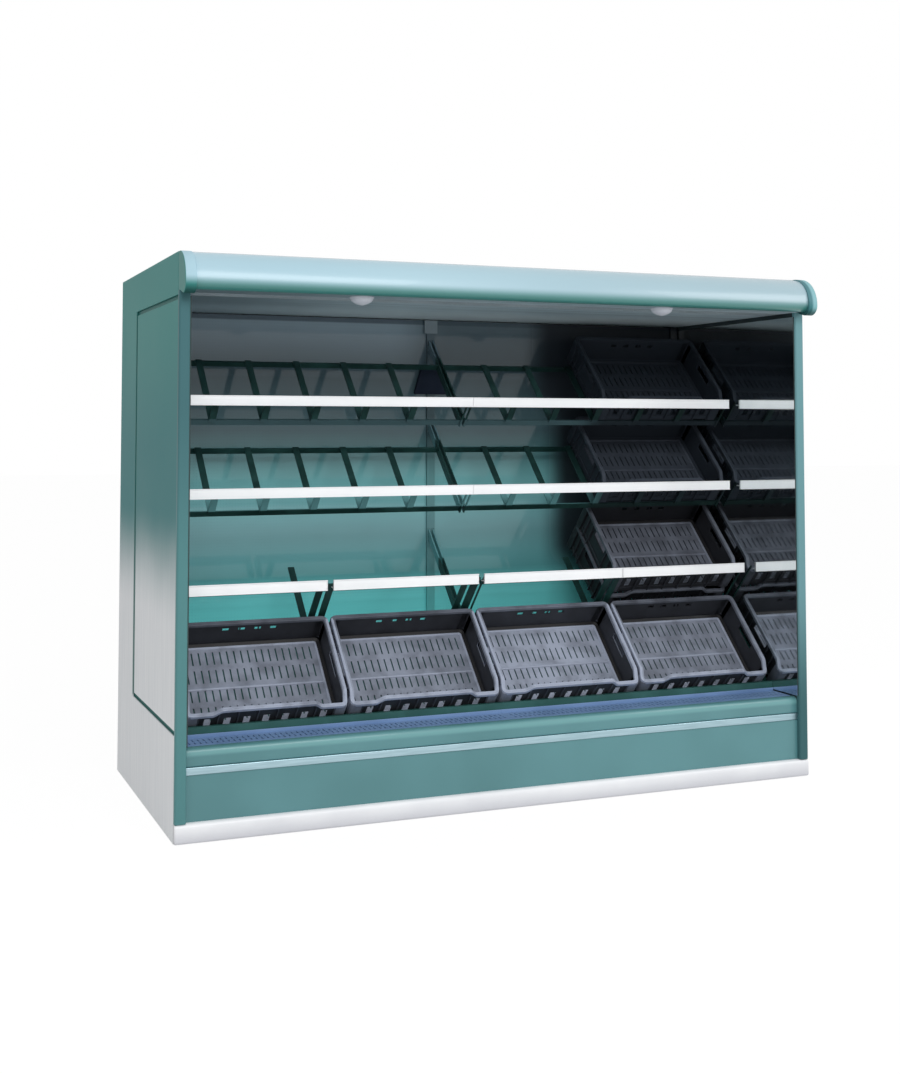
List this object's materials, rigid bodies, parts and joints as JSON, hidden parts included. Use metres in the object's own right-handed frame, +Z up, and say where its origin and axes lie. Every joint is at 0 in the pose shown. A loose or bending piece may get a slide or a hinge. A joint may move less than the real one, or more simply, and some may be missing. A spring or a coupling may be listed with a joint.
{
  "type": "multideck display fridge",
  "caption": "Open-front chilled display case with tilted crate racks, price rails, mirrored ends, a bullnose canopy and a low crate deck over the cold works.",
  "frame": {"origin": "centre of the footprint of the whole case, on the floor under its feet", "axes": "+X along the case to the shopper's right, +Y to the rear, +Z up; the open front faces -Y"},
  "size_m": [2.58, 1.2676, 2.0217],
  "materials": {
    "teal_paint": "satin teal powder coat",
    "canopy_paint": "pale blue gloss coat",
    "back_paint": "glossy turquoise coat",
    "rack_paint": "dark green powder coat",
    "soffit_paint": "grey coat",
    "outlet_plastic": "dark grey moulding",
    "grille_plastic": "violet blue moulding",
    "bumper_plastic": "white bumper profile",
    "rail_plastic": "white label channel",
    "trim_aluminium": "pale anodised strip",
    "mirror_glass": "silvered glass",
    "lamp_lens": "frosted lens",
    "crate_plastic": "black moulded plastic",
    "liner_paint": "light grey coated sheet over foam",
    "frame_steel": "galvanised steel",
    "foot_steel": "zinc plated",
    "coil_aluminium": "bare fins",
    "motor_metal": "black motor can",
    "fan_plastic": "grey moulded wheel",
    "drain_plastic": "grey moulding"
  },
  "bodies": {
    "case": {"air_outlet": "outlet_plastic", "back_panel_left": "back_paint", "back_panel_right": "back_paint", "base_frame": "frame_steel", "bumper": "bumper_plastic", "canopy_cap_left": "teal_paint", "canopy_cap_right": "teal_paint", "canopy_fascia": "canopy_paint", "deck_plate": "rack_paint", "drain_outlet": "drain_plastic", "end_inset_left": "teal_paint", "end_inset_right": "teal_paint", "end_panel_left": "teal_paint", "end_panel_right": "teal_paint", "end_post_left": "teal_paint", "end_post_right": "teal_paint", "evaporator_coil": "coil_aluminium", "fan_motors": "motor_metal", "fan_plate": "frame_steel", "front_lip": "teal_paint", "front_panel": "teal_paint", "insulated_tub": "liner_paint", "lamp_left": "lamp_lens", "lamp_panel": "soffit_paint", "lamp_right": "lamp_lens", "levelling_feet": "foot_steel", "low_rack_left": "rack_paint", "low_rack_right": "rack_paint", "low_rails": "rail_plastic", "middle_rack_left": "rack_paint", "middle_rack_right": "rack_paint", "middle_rail_left": "rail_plastic", "middle_rail_right": "rail_plastic", "mirror_left": "mirror_glass", "mirror_right": "mirror_glass", "rear_insulated_wall": "liner_paint", "return_grille_left": "grille_plastic", "return_grille_right": "grille_plastic", "roof_panel": "liner_paint", "soffit": "soffit_paint", "top_rack_left": "rack_paint", "top_rack_right": "rack_paint", "top_rail_left": "rail_plastic", "top_rail_right": "rail_plastic", "trim_strip": "trim_aluminium", "upright_centre": "rack_paint", "upright_left": "rack_paint", "upright_right": "rack_paint"},
    "deck_crate_1": {"deck_crate_1": "crate_plastic"},
    "deck_crate_2": {"deck_crate_2": "crate_plastic"},
    "deck_crate_3": {"deck_crate_3": "crate_plastic"},
    "deck_crate_4": {"deck_crate_4": "crate_plastic"},
    "fan_1": {"fan_1": "fan_plastic"},
    "fan_2": {"fan_2": "fan_plastic"},
    "fan_3": {"fan_3": "fan_plastic"},
    "fan_4": {"fan_4": "fan_plastic"},
    "low_crate_under": {"low_crate_under": "crate_plastic"},
    "low_crate_upper": {"low_crate_upper": "crate_plastic"},
    "middle_crate": {"middle_crate": "crate_plastic"},
    "top_crate": {"top_crate": "crate_plastic"}
  },
  "joints": [
    {"name": "deck_crate_1_lift", "type": "slide", "parent": "case", "child": "deck_crate_1", "axis": [0, -0.6947, 0.7193], "range_m": [0, 0.12]},
    {"name": "deck_crate_2_lift", "type": "slide", "parent": "case", "child": "deck_crate_2", "axis": [0, -0.6947, 0.7193], "range_m": [0, 0.12]},
    {"name": "deck_crate_3_lift", "type": "slide", "parent": "case", "child": "deck_crate_3", "axis": [0, -0.6947, 0.7193], "range_m": [0, 0.12]},
    {"name": "deck_crate_4_lift", "type": "slide", "parent": "case", "child": "deck_crate_4", "axis": [0, -0.6947, 0.7193], "range_m": [0, 0.12]},
    {"name": "low_crate_under_lift", "type": "slide", "parent": "case", "child": "low_crate_under", "axis": [0, -0.6947, 0.7193], "range_m": [0, 0.012]},
    {"name": "low_crate_upper_lift", "type": "slide", "parent": "low_crate_under", "child": "low_crate_upper", "axis": [0, -0.6947, 0.7193], "range_m": [0, 0.018]},
    {"name": "middle_crate_lift", "type": "slide", "parent": "case", "child": "middle_crate", "axis": [0, -0.6947, 0.7193], "range_m": [0, 0.08]},
    {"name": "top_crate_lift", "type": "slide", "parent": "case", "child": "top_crate", "axis": [0, -0.6947, 0.7193], "range_m": [0, 0.075]},
    {"name": "fan_1_spin", "type": "hinge", "parent": "case", "child": "fan_1", "pos_m": [-0.9375, -0.11381, 0.295], "axis": [0, 1, 0], "continuous": true},
    {"name": "fan_2_spin", "type": "hinge", "parent": "case", "child": "fan_2", "pos_m": [-0.3125, -0.11381, 0.295], "axis": [0, 1, 0], "continuous": true},
    {"name": "fan_3_spin", "type": "hinge", "parent": "case", "child": "fan_3", "pos_m": [0.3125, -0.11381, 0.295], "axis": [0, 1, 0], "continuous": true},
    {"name": "fan_4_spin", "type": "hinge", "parent": "case", "child": "fan_4", "pos_m": [0.9375, -0.11381, 0.295], "axis": [0, 1, 0], "continuous": true}
  ]
}
